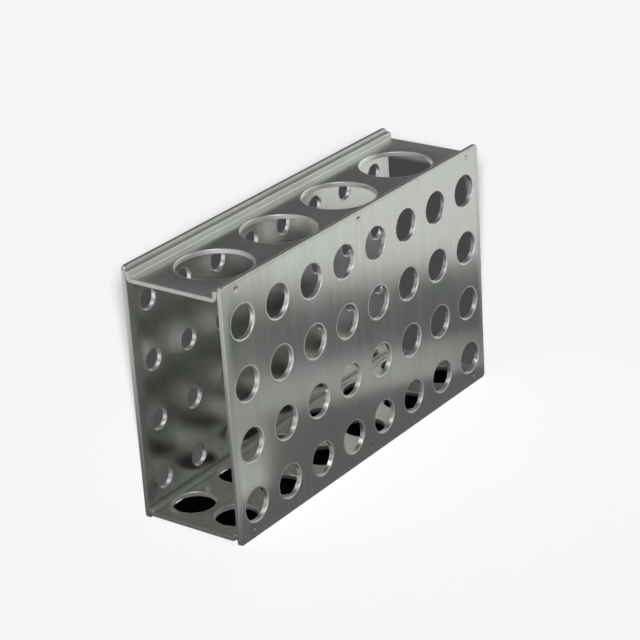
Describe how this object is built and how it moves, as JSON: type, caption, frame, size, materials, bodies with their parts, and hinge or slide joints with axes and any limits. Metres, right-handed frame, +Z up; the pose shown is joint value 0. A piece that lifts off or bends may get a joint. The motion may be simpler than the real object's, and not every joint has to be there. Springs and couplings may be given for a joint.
{
  "type": "microcentrifuge tube rack",
  "caption": "Open-ended stainless sheet rack with a perforated wall on each of its four long sides, each punched for another size of laboratory tube.",
  "frame": {"origin": "on the surface the rack stands on, under the middle of the rack", "axes": "+X along the rack's length, +Y from the plate with the larger holes to the plate with the smaller ones, +Z up"},
  "size_m": [0.172, 0.047, 0.106],
  "materials": {
    "plate_steel": "bright satin stainless steel with fine upright brush lines",
    "tray_steel": "satin stainless steel, a little darker, with fine lengthwise brush lines"
  },
  "bodies": {
    "root": {"front_plate": "plate_steel", "back_plate": "plate_steel", "top_tray": "tray_steel", "bottom_tray": "tray_steel"}
  },
  "joints": []
}
